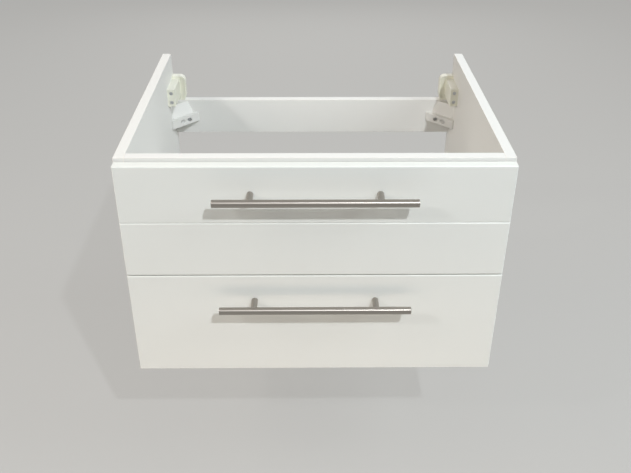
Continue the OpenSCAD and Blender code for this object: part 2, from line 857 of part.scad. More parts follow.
// Groove that holds the bottom in the box front and the two sides
module bottom_groove(box) {
    half = box_x - box_t + box_groove_depth;
    board([-half, y_box + box_t - box_groove_depth, box[0] + box_groove_rise],
          [half, y_box + box[2] + CUT, box[0] + box_floor_rise + groove_gap]);
}

module front_screw_rods(box, y0, y1, d) {
    for (x = front_screw_xs()) for (z = front_screw_zs(box)) rod_y(x, y0, y1, z, d);
}

module box_front(box) color(MELAMINE) difference() {
    board([box_t - box_x, y_box, box[0]], [box_x - box_t, y_box + box_t, box[0] + box[1]]);
    bottom_groove(box);
    box_dowel_holes(box);
    front_screw_rods(box, y_box - CUT, y_box + box_t + CUT, screw_d + 2 * hole_gap);
}

module box_side(box, runner, side) color(MELAMINE) on_side(side) difference() {
    board([box_x - box_t, y_box, box[0]], [box_x, y_box + box[2], box[0] + box[1]]);
    bottom_groove(box);
    box_dowel_holes(box);
    for (y = runner_screw_ys(runner))
        rod_x(box_x - screw_bite - end_gap, box_x + CUT, y, runner[0],
              screw_d + 2 * hole_gap);
}

// Back board that stands on the bottom between the sides
module box_back(box) color(MELAMINE) difference() {
    board([box_t - box_x, y_box + box[2] - box_t, box[0] + box_floor_rise],
          [box_x - box_t, y_box + box[2], box[0] + box[1]]);
    box_dowel_holes(box);
}

module upper_box_back() color(MELAMINE) difference() {
    box_back(UPPER_BOX);
    board([-trap_w / 2 - box_t, y_box, UPPER_BOX[0]],
          [trap_w / 2 + box_t, y_box + upper_box_depth + CUT, UPPER_FRONT[0] + UPPER_FRONT[1]]);
}

module box_bottom(box) color(WHITE) {
    half = box_x - box_t + box_groove_depth - groove_gap;
    board([-half, y_box + box_t - box_groove_depth + groove_gap, box[0] + box_groove_rise],
          [half, y_box + box[2], box[0] + box_floor_rise]);
}

module upper_box_bottom() color(WHITE) difference() {
    box_bottom(UPPER_BOX);
    board([-trap_w / 2, y_box + upper_box_depth - trap_depth, UPPER_BOX[0]],
          [trap_w / 2, y_box + upper_box_depth + CUT, UPPER_BOX[0] + upper_box_h]);
}

// Three boards round the space for the drain trap
module upper_trap_recess() color(MELAMINE) {
    y_back = y_box + upper_box_depth;
    y_wall = y_back - trap_depth;
    z0 = UPPER_BOX[0] + box_floor_rise;
    z1 = UPPER_BOX[0] + upper_box_h;
    both_sides() board([trap_w / 2, y_wall, z0], [trap_w / 2 + box_t, y_back, z1]);
    board([-trap_w / 2 - box_t, y_wall - box_t, z0], [trap_w / 2 + box_t, y_wall, z1]);
}

module front_screws(box) color(ZINC) {
    inner_face = y_box + box_t;
    front_screw_rods(box, y_box - screw_bite, inner_face, screw_d);
    front_screw_rods(box, inner_face, inner_face + screw_head_h, screw_head_d);
}

// -------------------------------------------------------------------- nodes

side_panel(-1);  // side_panel_left
side_panel(1);  // side_panel_right
bottom_panel();
front_rail();
rear_rail_upper();
rear_rail_lower();
panel_dowels();
cam_housings();
cam_bolts();
front_bumpers();
corner_brace(-1);  // corner_brace_left
corner_brace(1);  // corner_brace_right
corner_brace_screws();
hanger_body(-1);  // hanger_body_left
hanger_body(1);  // hanger_body_right
hanger_carriage(-1);  // hanger_carriage_left
hanger_carriage(1);  // hanger_carriage_right
hanger_hook(-1);  // hanger_hook_left
hanger_hook(1);  // hanger_hook_right
adjusting_screw(-1, z_depth_screw);  // depth_screw_left
adjusting_screw(1, z_depth_screw);  // depth_screw_right
adjusting_screw(-1, z_height_screw);  // height_screw_left
adjusting_screw(1, z_height_screw);  // height_screw_right

runner_cabinet_members(UPPER_RUNNER);  // upper_runner_cabinet_members
runner_cabinet_members(LOWER_RUNNER);  // lower_runner_cabinet_members
runner_cabinet_screws();
runner_middle_members(UPPER_RUNNER);  // upper_runner_middle_members
runner_middle_members(LOWER_RUNNER);  // lower_runner_middle_members
runner_ball_strips(UPPER_RUNNER);  // upper_runner_ball_strips
runner_ball_strips(LOWER_RUNNER);  // lower_runner_ball_strips
runner_drawer_members(UPPER_RUNNER);  // upper_runner_drawer_members
runner_drawer_members(LOWER_RUNNER);  // lower_runner_drawer_members
runner_drawer_screws(UPPER_RUNNER);  // upper_runner_drawer_screws
runner_drawer_screws(LOWER_RUNNER);  // lower_runner_drawer_screws

upper_front();
box_front(UPPER_BOX);  // upper_box_front
box_side(UPPER_BOX, UPPER_RUNNER, -1);  // upper_box_side_left
box_side(UPPER_BOX, UPPER_RUNNER, 1);  // upper_box_side_right
upper_box_back();
upper_trap_recess();
upper_box_bottom();
box_dowels(UPPER_BOX);  // upper_box_dowels
front_screws(UPPER_BOX);  // upper_front_screws
handle_bar(UPPER_FRONT);  // upper_handle_bar
handle_posts(UPPER_FRONT);  // upper_handle_posts
handle_screws(UPPER_FRONT);  // upper_handle_screws

drawer_front(LOWER_FRONT, LOWER_BOX);  // lower_front
box_front(LOWER_BOX);  // lower_box_front
box_side(LOWER_BOX, LOWER_RUNNER, -1);  // lower_box_side_left
box_side(LOWER_BOX, LOWER_RUNNER, 1);  // lower_box_side_right
box_back(LOWER_BOX);  // lower_box_back
box_bottom(LOWER_BOX);  // lower_box_bottom
box_dowels(LOWER_BOX);  // lower_box_dowels
front_screws(LOWER_BOX);  // lower_front_screws
handle_bar(LOWER_FRONT);  // lower_handle_bar
handle_posts(LOWER_FRONT);  // lower_handle_posts
handle_screws(LOWER_FRONT);  // lower_handle_screws
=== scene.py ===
"""Floating vanity with two drawers: finishes, trim, floor, lamps and camera round its solid model."""
import json
from math import pi, radians

import bmesh
import bpy
import numpy as np
from bpy.props import FloatProperty, FloatVectorProperty, IntProperty, PointerProperty
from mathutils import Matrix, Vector

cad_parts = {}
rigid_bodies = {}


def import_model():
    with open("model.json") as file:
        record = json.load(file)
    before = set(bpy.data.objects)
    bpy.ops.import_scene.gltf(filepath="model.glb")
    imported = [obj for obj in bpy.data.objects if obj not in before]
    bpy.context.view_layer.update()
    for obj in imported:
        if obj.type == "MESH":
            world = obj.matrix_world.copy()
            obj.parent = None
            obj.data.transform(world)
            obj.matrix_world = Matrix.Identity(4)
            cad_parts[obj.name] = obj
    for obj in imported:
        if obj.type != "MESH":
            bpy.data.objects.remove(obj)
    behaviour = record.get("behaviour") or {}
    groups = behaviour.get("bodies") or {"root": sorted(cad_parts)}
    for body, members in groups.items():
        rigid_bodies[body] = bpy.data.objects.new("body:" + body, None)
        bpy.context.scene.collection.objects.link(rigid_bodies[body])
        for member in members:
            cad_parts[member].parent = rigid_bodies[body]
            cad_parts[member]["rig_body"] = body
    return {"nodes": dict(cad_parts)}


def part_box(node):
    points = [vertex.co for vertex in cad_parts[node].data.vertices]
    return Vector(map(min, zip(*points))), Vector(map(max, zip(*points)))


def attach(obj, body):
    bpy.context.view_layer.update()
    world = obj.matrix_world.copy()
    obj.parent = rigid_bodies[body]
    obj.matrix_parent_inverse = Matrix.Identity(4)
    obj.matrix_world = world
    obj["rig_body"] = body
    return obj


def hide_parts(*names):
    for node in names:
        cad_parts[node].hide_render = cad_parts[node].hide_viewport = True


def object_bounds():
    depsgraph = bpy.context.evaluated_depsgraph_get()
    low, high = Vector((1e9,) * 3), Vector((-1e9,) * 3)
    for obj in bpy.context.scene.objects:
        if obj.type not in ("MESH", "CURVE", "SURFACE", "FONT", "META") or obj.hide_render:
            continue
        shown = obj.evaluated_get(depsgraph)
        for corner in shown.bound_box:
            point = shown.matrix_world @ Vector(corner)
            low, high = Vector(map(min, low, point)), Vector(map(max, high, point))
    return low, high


bl_info = {
    "name": "Floating vanity",
    "version": (1, 0, 0),
    "blender": (4, 5, 0),
    "location": "3D View > Sidebar > Vanity",
    "description": "Gives a wall-hung vanity its finishes, handles and trim",
    "category": "Object",
}

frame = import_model()
CAD_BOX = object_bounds()

MM = 0.001

# Points nearer than this are one point.
WELD = 0.002 * MM

# Faces that meet at less than the first angle are one face, at more than the second a crease in
# the shading, and at more than the third an edge to round over. In radians.
FLAT = radians(0.5)
CREASE = radians(35)
CORNER = radians(40)

# How far the hollow end of a handle post reaches into its bar.
POST_SEAT = 0.05 * MM

SIDES = ("left", "right")
DRAWERS = ("upper", "lower")


# ---------------------------------------------------------------- settings

def linear(hex_code):
    """An sRGB hex colour as a linear colour with full alpha."""
    shares = [int(hex_code[i:i + 2], 16) / 255 for i in (1, 3, 5)]
    return [s / 12.92 if s <= 0.04045 else ((s + 0.055) / 1.055) ** 2.4 for s in shares] + [1.0]


def length(name, description, millimetres):
    """A length setting, in metres, with its default given in millimetres."""
    return FloatProperty(name=name, description=description, default=millimetres * MM,
                         min=0.0, unit="LENGTH", precision=5)


def colour(name, description, hex_code):
    """A colour setting with its default given as sRGB hex."""
    return FloatVectorProperty(name=name, description=description, default=linear(hex_code),
                               size=4, min=0.0, max=1.0, subtype="COLOR")


class VanitySizes(bpy.types.PropertyGroup):
    """Sizes that the finishing adds to the solid model"""
    board_edge: length("Board edges", "Radius of the trimmed edge strips", 0.7)
    box_edge: length("Drawer box edges", "Radius of the drawer boards' edges", 0.5)
    moulded_edge: length("Moulded edges", "Radius on the hangers and corner braces", 0.5)
    cast_edge: length("Cast edges", "Radius on castings and pressed steel", 0.25)
    bar_corner: length("Bar corner", "Radius at the ends of the handle bars", 0.8)
    post_corner: length("Post corner", "Chamfer where a post meets the front", 0.3)
    bar_steps: IntProperty(name="Bar steps", description="Facets round a handle bar",
                           default=72, min=12, max=256)


class VanityColours(bpy.types.PropertyGroup):
    """Colours of the finishes"""
    lacquer: colour("Lacquer", "Sprayed fronts", "#E8E9E4")
    melamine: colour("Melamine", "Faces of the cabinet boards", "#E7E6E2")
    edge_strip: colour("Edge strip", "Narrow edges of the cabinet boards", "#ECE8E2")
    drawer_foil: colour("Drawer foil", "Boards of the drawer boxes", "#E3E1DB")
    hardboard: colour("Hardboard", "Raw side of the drawer bottoms", "#8F6B4A")
    beech: colour("Beech", "Dowels", "#C99F6E")
    die_cast: colour("Die-cast zinc", "Cams and hanger carriages", "#B9B8B5")
    zinc_plate: colour("Zinc plate", "Screws, runners and hooks", "#CFD1D3")
    bearing: colour("Bearing steel", "Ball rows of the runners", "#B4B4B4")
    silicone: colour("Silicone", "Bumpers behind the fronts", "#F4F4F0")
    nylon: colour("Nylon", "Hanger bodies", "#ECEBDC")
    brace: colour("Brace plastic", "Corner braces", "#DEDDD9")
    stainless: colour("Stainless steel", "Handle bars and posts", "#A8A29B")
    floor: colour("Floor", "Floor under the vanity", "#C4C3C0")


class VanityLight(bpy.types.PropertyGroup):
    """Brightness of a white surface that faces each lamp"""
    main: FloatProperty(name="Main lamp", description="Small lamp above and to the right",
                        default=0.47, min=0.0)
    second: FloatProperty(name="Second lamp", description="Small lamp above and to the left",
                          default=0.13, min=0.0)
    overhead: FloatProperty(name="Overhead lamp", description="Wide soft lamp over the vanity",
                            default=0.03, min=0.0)
    bounce: FloatProperty(name="Bounce card", description="Low warm card before the fronts",
                          default=0.32, min=0.0)
    right: FloatProperty(name="Right card", description="Wide cool card to the right",
                         default=0.50, min=0.0)
    left: FloatProperty(name="Left card", description="Wide warm card to the left",
                        default=0.36, min=0.0)
    rear: FloatProperty(name="Rear card", description="Wide soft card behind the vanity",
                        default=0.22, min=0.0)
    room: FloatProperty(name="Room", description="Even light from all round",
                        default=0.15, min=0.0)


# ------------------------------------------------------------------ shapes

def grid(points, wrap=False):
    """Quads over a grid of points, with a flat map in metres.

    Each quad is the cell between two neighbouring rows and two neighbouring columns, and with
    wrap the last column meets the first. The map runs by the longest step between rows and
    between columns.
    """
    rows, columns = points.shape[:2]
    number = np.arange(rows * columns).reshape(rows, columns)
    closed = np.concatenate([points, points[:, :1]], axis=1) if wrap else points
    if wrap:
        number = np.hstack([number, number[:, :1]])
    row_steps = np.linalg.norm(np.diff(closed, axis=0), axis=-1).max(axis=1)
    column_steps = np.linalg.norm(np.diff(closed, axis=1), axis=-1).max(axis=0)
    u, v = np.meshgrid(np.append(0, np.cumsum(row_steps)),
                       np.append(0, np.cumsum(column_steps)), indexing="ij")
    flat = np.stack([u, v], axis=-1)
    cells = [grid_part[rows_from, columns_from]
             for grid_part in (number, flat)
             for rows_from, columns_from in (
                 (slice(None, -1), slice(None, -1)), (slice(None, -1), slice(1, None)),
                 (slice(1, None), slice(1, None)), (slice(1, None), slice(None, -1)))]
    quads = np.stack(cells[:4], axis=-1).reshape(-1, 4)
    corners = np.stack(cells[4:], axis=-2).reshape(-1, 2)
    return points.reshape(-1, 3), quads, corners


def turned(along, radius, steps):
    """A solid turned about the X axis: each pair of place and radius becomes a ring.

    A ring's points are (place, radius cos a, radius sin a), with a from 0 to a full turn.
    """
    angle = np.linspace(0, 2 * pi, steps, endpoint=False)
    return np.stack(np.broadcast_arrays(
        along[:, None], radius[:, None] * np.cos(angle), radius[:, None] * np.sin(angle)), axis=-1)


def quarter(steps):
    """Sine and cosine of angles spread over a quarter turn."""
    angle = np.linspace(0, pi / 2, steps)
    return np.sin(angle), np.cos(angle)


def finish_mesh(mesh):
    """Merges poles and seams, turns the faces outwards and shades it smooth between creases."""
    work = bmesh.new()
    work.from_mesh(mesh)
    bmesh.ops.remove_doubles(work, verts=work.verts, dist=WELD)
    bmesh.ops.recalc_face_normals(work, faces=work.faces)
    work.to_mesh(mesh)
    work.free()
    mesh.shade_smooth()
    mesh.set_sharp_from_angle(angle=CREASE)


def dress(name, mesh, materials, nodes):
    """Puts a mesh into the scene on the body of the solids that it stands for."""
    obj = bpy.data.objects.new(name, mesh)
    bpy.context.scene.collection.objects.link(obj)
    mesh.materials.clear()
    for material in materials:
        mesh.materials.append(material)
    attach(obj, frame["nodes"][nodes[0]]["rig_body"])
    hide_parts(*nodes)
    return obj


def new_piece(name, surfaces, materials, nodes):
    """One object from closed surfaces, each given as points, quads and map corners."""
    starts = np.cumsum([0] + [len(points) for points, _, _ in surfaces])
    mesh = bpy.data.meshes.new(name)
    mesh.from_pydata(
        np.concatenate([points for points, _, _ in surfaces]), [],
        np.concatenate([quads + start for (_, quads, _), start in zip(surfaces, starts)]).tolist())
    flat_map = mesh.uv_layers.new(name="surface")
    flat_map.data.foreach_set("uv", np.concatenate([c for _, _, c in surfaces]).ravel())
    finish_mesh(mesh)
    obj = dress(name, mesh, materials, nodes)
    obj.modifiers.new("even shading", "WEIGHTED_NORMAL").keep_sharp = True
    return obj


def eased_copy(node, ending, radius, materials, shortest=10, edge_material=-1, sort=None):
    """A merged copy of a solid whose long sharp edges are rounded over.

    An edge is rounded where its faces meet at a corner and it is longer than shortest, in
    millimetres. sort gives each face its material from normals and centres.
    """
    source = frame["nodes"][node].data
    places = np.empty(len(source.vertices) * 3)
    source.vertices.foreach_get("co", places)
    corners = np.empty(len(source.loops), int)
    source.loops.foreach_get("vertex_index", corners)
    mesh = bpy.data.meshes.new(f"{node}_{ending}")
    mesh.from_pydata(places.reshape(-1, 3), [], corners.reshape(-1, 3).tolist())
    work = bmesh.new()
    work.from_mesh(mesh)
    bmesh.ops.remove_doubles(work, verts=work.verts, dist=WELD)
    bmesh.ops.dissolve_limit(work, angle_limit=FLAT, verts=work.verts, edges=work.edges)
    weight = work.edges.layers.float.new("bevel_weight_edge")
    for edge in work.edges:
        if len(edge.link_faces) == 2 and edge.calc_length() > shortest * MM:
            edge[weight] = float(edge.calc_face_angle() > CORNER)
    work.to_mesh(mesh)
    work.free()
    if sort:
        normals = np.array([face.normal for face in mesh.polygons])
        centres = np.array([face.center for face in mesh.polygons])
        mesh.polygons.foreach_set("material_index", sort(normals, centres).astype(int))
    mesh.shade_smooth()
    mesh.set_sharp_from_angle(angle=CREASE)
    obj = dress(f"{node}_{ending}", mesh, materials, [node])
    rounding = obj.modifiers.new("eased edges", "BEVEL")
    rounding.limit_method = "WEIGHT"
    rounding.width = radius
    rounding.segments = 3
    rounding.material = edge_material
    rounding.harden_normals = True
    return obj


def narrow_faces(node):
    """A sorter that gives a board's narrow faces material 1 and its two broad faces material 0."""
    low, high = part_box(node)
    thin = int(np.argmin(np.array(high - low)))
    return lambda normals, centres: np.abs(normals[:, thin]) < 0.9


def finish_node(node, material):
    """Gives a solid that is shown as it is its finish."""
    mesh = frame["nodes"][node].data
    mesh.materials.clear()
    mesh.materials.append(material)


# --------------------------------------------------------------- materials

def add(tree, kind, settings=None, inputs=None):
    """Adds a node with its settings, and its inputs as values or as links.

    An input goes to the socket in use that has its name, or that has its place where names
    repeat. A node given as an input is linked from its first output in use.
    """
    made = tree.nodes.new("ShaderNode" + kind)
    for name, value in (settings or {}).items():
        setattr(made, name, value)
    for name, value in (inputs or {}).items():
        socket = next(s for place, s in enumerate(made.inputs)
                      if name in (place, s.name) and s.enabled)
        if isinstance(value, bpy.types.Node):
            value = next(s for s in value.outputs if s.enabled)
        if isinstance(value, bpy.types.NodeSocket):
            tree.links.new(value, socket)
        else:
            socket.default_value = value
    return made


def per_metre(millimetres):
    """The scale of a pattern whose cells are this wide."""
    return 1000 / millimetres


def darker(tone, share):
    """A colour taken down to a share of itself."""
    return [c * share for c in tone[:3]] + [1.0]


def blank_material(name):
    """A named material and its node tree, emptied."""
    material = bpy.data.materials.new(name)
    material.use_nodes = True
    tree = material.node_tree
    tree.nodes.clear()
    return material, tree


def sprayed_lacquer(colours):
    """Satin lacquer sprayed on fibreboard: an even soft sheen, with faint orange peel."""
    material, tree = blank_material("satin sprayed lacquer")
    place = add(tree, "TexCoord").outputs["Object"]
    peel = add(tree, "TexNoise", inputs={"Vector": place, "Scale": per_metre(2.5), "Detail": 1.0})
    flow = add(tree, "TexNoise", inputs={"Vector": place, "Scale": per_metre(90), "Detail": 2.0})
    tone = add(tree, "Mix", {"data_type": "RGBA"}, {
        "Factor": flow, "A": darker(colours.lacquer, 0.985), "B": colours.lacquer})
    gloss = add(tree, "MapRange", inputs={
        "Value": flow, "From Min": 0.3, "From Max": 0.7, "To Min": 0.34, "To Max": 0.40})
    bump = add(tree, "Bump", inputs={"Height": peel, "Strength": 0.5, "Distance": 0.02 * MM})
    shader = add(tree, "BsdfPrincipled", inputs={
        "Base Color": tone, "Roughness": gloss, "IOR": 1.5, "Normal": bump})
    add(tree, "OutputMaterial", inputs={"Surface": shader})
    return material


def melamine(colours):
    """Melamine paper pressed on chipboard against a pearl plate: a finely pitted low sheen."""
    material, tree = blank_material("pearl melamine on chipboard")
    place = add(tree, "TexCoord").outputs["Object"]
    pearl = add(tree, "TexVoronoi", {"feature": "SMOOTH_F1"}, {
        "Vector": place, "Scale": per_metre(1.4), "Smoothness": 0.6})
    paper = add(tree, "TexNoise", inputs={"Vector": place, "Scale": per_metre(120), "Detail": 3.0})
    tone = add(tree, "Mix", {"data_type": "RGBA"}, {
        "Factor": paper, "A": darker(colours.melamine, 0.985), "B": colours.melamine})
    gloss = add(tree, "MapRange", inputs={
        "Value": pearl, "From Min": 0.1, "From Max": 0.8, "To Min": 0.42, "To Max": 0.52})
    bump = add(tree, "Bump", inputs={"Height": pearl, "Strength": 0.5, "Distance": 0.04 * MM})
    shader = add(tree, "BsdfPrincipled", inputs={
        "Base Color": tone, "Roughness": gloss, "IOR": 1.5, "Normal": bump})
    add(tree, "OutputMaterial", inputs={"Surface": shader})
    return material


def edge_strip(colours):
    """Thermoplastic edge strip, trimmed and buffed: a little warmer and shinier than the face."""
    material, tree = blank_material("buffed ABS edge strip")
    place = add(tree, "TexCoord").outputs["Object"]
    chatter = add(tree, "TexNoise", inputs={"Vector": place, "Scale": per_metre(3), "Detail": 2.0})
    tone = add(tree, "Mix", {"data_type": "RGBA"}, {
        "Factor": chatter, "A": darker(colours.edge_strip, 0.98), "B": colours.edge_strip})
    gloss = add(tree, "MapRange", inputs={
        "Value": chatter, "From Min": 0.3, "From Max": 0.7, "To Min": 0.30, "To Max": 0.38})
    bump = add(tree, "Bump", inputs={"Height": chatter, "Strength": 0.4, "Distance": 0.03 * MM})
    shader = add(tree, "BsdfPrincipled", inputs={
        "Base Color": tone, "Roughness": gloss, "IOR": 1.52, "Normal": bump})
    add(tree, "OutputMaterial", inputs={"Surface": shader})
    return material


def drawer_foil(colours):
    """Wrapped fibreboard for drawer boxes: smooth matt foil with a faint press texture."""
    material, tree = blank_material("foil-wrapped fibreboard")
    place = add(tree, "TexCoord").outputs["Object"]
    press = add(tree, "TexNoise", inputs={"Vector": place, "Scale": per_metre(1.8), "Detail": 2.0})
    cloud = add(tree, "TexNoise", inputs={"Vector": place, "Scale": per_metre(70), "Detail": 2.0})
    tone = add(tree, "Mix", {"data_type": "RGBA"}, {
        "Factor": cloud, "A": darker(colours.drawer_foil, 0.975), "B": colours.drawer_foil})
    gloss = add(tree, "MapRange", inputs={
        "Value": press, "From Min": 0.3, "From Max": 0.7, "To Min": 0.46, "To Max": 0.54})
    bump = add(tree, "Bump", inputs={"Height": press, "Strength": 0.4, "Distance": 0.03 * MM})
    shader = add(tree, "BsdfPrincipled", inputs={
        "Base Color": tone, "Roughness": gloss, "IOR": 1.48, "Normal": bump})
    add(tree, "OutputMaterial", inputs={"Surface": shader})
    return material


def raw_hardboard(colours):
    """Pressed wood fibre: brown, matt and flecked, with short dark and light fibres."""
    material, tree = blank_material("raw hardboard")
    place = add(tree, "TexCoord").outputs["Object"]
    fibre = add(tree, "TexNoise", inputs={
        "Vector": place, "Scale": per_metre(1.6), "Detail": 6.0, "Roughness": 0.7})
    flecks = add(tree, "MapRange", inputs={"Value": fibre, "From Min": 0.3, "From Max": 0.7})
    tone = add(tree, "Mix", {"data_type": "RGBA"}, {
        "Factor": flecks, "A": darker(colours.hardboard, 0.6), "B": colours.hardboard})
    bump = add(tree, "Bump", inputs={"Height": fibre, "Strength": 0.6, "Distance": 0.08 * MM})
    shader = add(tree, "BsdfPrincipled", inputs={
        "Base Color": tone, "Roughness": 0.78, "IOR": 1.45, "Normal": bump})
    add(tree, "OutputMaterial", inputs={"Surface": shader})
    return material


def fluted_beech(colours):
    """Turned and fluted beech: pale brown with short darker rays."""
    material, tree = blank_material("fluted beech")
    place = add(tree, "TexCoord").outputs["Object"]
    rays = add(tree, "TexNoise", inputs={
        "Vector": place, "Scale": per_metre(0.9), "Detail": 4.0, "Roughness": 0.6})
    streaks = add(tree, "MapRange", inputs={"Value": rays, "From Min": 0.3, "From Max": 0.7})
    tone = add(tree, "Mix", {"data_type": "RGBA"}, {
        "Factor": streaks, "A": darker(colours.beech, 0.72), "B": colours.beech})
    bump = add(tree, "Bump", inputs={"Height": rays, "Strength": 0.5, "Distance": 0.06 * MM})
    shader = add(tree, "BsdfPrincipled", inputs={
        "Base Color": tone, "Roughness": 0.62, "IOR": 1.46, "Normal": bump})
    add(tree, "OutputMaterial", inputs={"Surface": shader})
    return material


def die_cast_zinc(colours):
    """Zinc cast in a steel mould: dull grey, with soft flow marks and a grainy skin."""
    material, tree = blank_material("die-cast zinc")
    place = add(tree, "TexCoord").outputs["Object"]
    skin = add(tree, "TexNoise", inputs={"Vector": place, "Scale": per_metre(0.8), "Detail": 4.0})
    flow = add(tree, "TexNoise", inputs={"Vector": place, "Scale": per_metre(5), "Detail": 2.0})
    tone = add(tree, "Mix", {"data_type": "RGBA"}, {
        "Factor": flow, "A": darker(colours.die_cast, 0.82), "B": colours.die_cast})
    gloss = add(tree, "MapRange", inputs={
        "Value": skin, "From Min": 0.3, "From Max": 0.7, "To Min": 0.38, "To Max": 0.52})
    bump = add(tree, "Bump", inputs={"Height": skin, "Strength": 0.5, "Distance": 0.04 * MM})
    shader = add(tree, "BsdfPrincipled", inputs={
        "Base Color": tone, "Metallic": 1.0, "Roughness": gloss, "Normal": bump})
    add(tree, "OutputMaterial", inputs={"Surface": shader})
    return material


def zinc_plated_steel(colours):
    """Steel with bright zinc plating: a cool shine, cloudy where the plating passivated."""
    material, tree = blank_material("zinc-plated steel")
    place = add(tree, "TexCoord").outputs["Object"]
    cloud = add(tree, "TexNoise", inputs={"Vector": place, "Scale": per_metre(7), "Detail": 3.0})
    along = add(tree, "Mapping", inputs={"Vector": place, "Scale": (1.0, 0.04, 1.0)})
    rolled = add(tree, "TexNoise", inputs={"Vector": along, "Scale": per_metre(0.7), "Detail": 2.0})
    tone = add(tree, "Mix", {"data_type": "RGBA"}, {
        "Factor": cloud, "A": darker(colours.zinc_plate, 0.93), "B": colours.zinc_plate})
    gloss = add(tree, "MapRange", inputs={
        "Value": cloud, "From Min": 0.3, "From Max": 0.7, "To Min": 0.30, "To Max": 0.36})
    bump = add(tree, "Bump", inputs={"Height": rolled, "Strength": 0.1, "Distance": 0.01 * MM})
    shader = add(tree, "BsdfPrincipled", inputs={
        "Base Color": tone, "Metallic": 1.0, "Roughness": gloss, "Normal": bump})
    add(tree, "OutputMaterial", inputs={"Surface": shader})
    return material


def bearing_steel(colours):
    """Ground and greased bearing steel: dark, hard reflections with a thin uneven film."""
    material, tree = blank_material("greased bearing steel")
    place = add(tree, "TexCoord").outputs["Object"]
    film = add(tree, "TexNoise", inputs={"Vector": place, "Scale": per_metre(3), "Detail": 2.0})
    tone = add(tree, "Mix", {"data_type": "RGBA"}, {
        "Factor": film, "A": darker(colours.bearing, 0.75), "B": colours.bearing})
    gloss = add(tree, "MapRange", inputs={
        "Value": film, "From Min": 0.3, "From Max": 0.7, "To Min": 0.12, "To Max": 0.24})
    shader = add(tree, "BsdfPrincipled", inputs={
        "Base Color": tone, "Metallic": 1.0, "Roughness": gloss})
    add(tree, "OutputMaterial", inputs={"Surface": shader})
    return material


def clear_silicone(colours):
    """Soft unpigmented silicone: milky and slightly frosted, with a little light through it."""
    material, tree = blank_material("clear silicone")
    place = add(tree, "TexCoord").outputs["Object"]
    frost = add(tree, "TexNoise", inputs={"Vector": place, "Scale": per_metre(1.2), "Detail": 2.0})
    gloss = add(tree, "MapRange", inputs={
        "Value": frost, "From Min": 0.3, "From Max": 0.7, "To Min": 0.15, "To Max": 0.30})
    shader = add(tree, "BsdfPrincipled", inputs={
        "Base Color": colours.silicone, "Transmission Weight": 0.3, "IOR": 1.41,
        "Roughness": gloss})
    add(tree, "OutputMaterial", inputs={"Surface": shader})
    return material


def natural_nylon(colours):
    """Unpigmented moulded nylon: creamy and waxy, with soft flow marks and a fine grain."""
    material, tree = blank_material("natural moulded nylon")
    place = add(tree, "TexCoord").outputs["Object"]
    flow = add(tree, "TexNoise", inputs={"Vector": place, "Scale": per_metre(6), "Detail": 2.0})
    grain = add(tree, "TexNoise", inputs={"Vector": place, "Scale": per_metre(0.8), "Detail": 2.0})
    tone = add(tree, "Mix", {"data_type": "RGBA"}, {
        "Factor": flow, "A": darker(colours.nylon, 0.94), "B": colours.nylon})
    gloss = add(tree, "MapRange", inputs={
        "Value": flow, "From Min": 0.3, "From Max": 0.7, "To Min": 0.34, "To Max": 0.44})
    bump = add(tree, "Bump", inputs={"Height": grain, "Strength": 0.5, "Distance": 0.03 * MM})
    shader = add(tree, "BsdfPrincipled", inputs={
        "Base Color": tone, "Roughness": gloss, "IOR": 1.53, "Normal": bump})
    add(tree, "OutputMaterial", inputs={"Surface": shader})
    return material


def moulded_white_plastic(colours):
    """White polypropylene moulded in a spark-eroded tool: an even fine grain, low sheen."""
    material, tree = blank_material("moulded white polypropylene")
    place = add(tree, "TexCoord").outputs["Object"]
    erosion = add(tree, "TexNoise", inputs={"Vector": place, "Scale": per_metre(0.7), "Detail": 3.0})
    tone = add(tree, "Mix", {"data_type": "RGBA"}, {
        "Factor": erosion, "A": darker(colours.brace, 0.97), "B": colours.brace})
    gloss = add(tree, "MapRange", inputs={
        "Value": erosion, "From Min": 0.3, "From Max": 0.7, "To Min": 0.36, "To Max": 0.46})
    bump = add(tree, "Bump", inputs={"Height": erosion, "Strength": 0.5, "Distance": 0.04 * MM})
    shader = add(tree, "BsdfPrincipled", inputs={
        "Base Color": tone, "Roughness": gloss, "IOR": 1.49, "Normal": bump})
    add(tree, "OutputMaterial", inputs={"Surface": shader})
    return material


def brushed_stainless(colours):
    """Stainless steel brushed as it turned: fine rings round the bar, which draw highlights out
    along it. The rings are 0.05 mm apart on the real bar and ten times as coarse here."""
    material, tree = blank_material("brushed stainless steel")
    surface = add(tree, "UVMap", {"uv_map": "surface"})
    rings = add(tree, "Mapping", inputs={"Vector": surface, "Scale": (1.0, 0.03, 1.0)})
    brush = add(tree, "TexNoise", inputs={
        "Vector": rings, "Scale": per_metre(0.5), "Detail": 3.0, "Roughness": 0.6})
    tone = add(tree, "Mix", {"data_type": "RGBA"}, {
        "Factor": brush, "A": darker(colours.stainless, 0.93), "B": colours.stainless})
    gloss = add(tree, "MapRange", inputs={
        "Value": brush, "From Min": 0.3, "From Max": 0.7, "To Min": 0.29, "To Max": 0.36})
    bump = add(tree, "Bump", inputs={"Height": brush, "Strength": 0.15, "Distance": 0.01 * MM})
    tangent = add(tree, "Tangent", {"direction_type": "UV_MAP", "uv_map": "surface"})
    shader = add(tree, "BsdfPrincipled", inputs={
        "Base Color": tone, "Metallic": 1.0, "Roughness": gloss, "Anisotropic": 0.6,
        "Tangent": tangent, "Normal": bump})
    add(tree, "OutputMaterial", inputs={"Surface": shader})
    return material


FINISHES = {}


def finish(maker, scene):
    """The material that a maker function gives, made once."""
    if maker.__name__ not in FINISHES:
        FINISHES[maker.__name__] = maker(scene.vanity_colours)
    return FINISHES[maker.__name__]


# --------------------------------------------------------------- operators

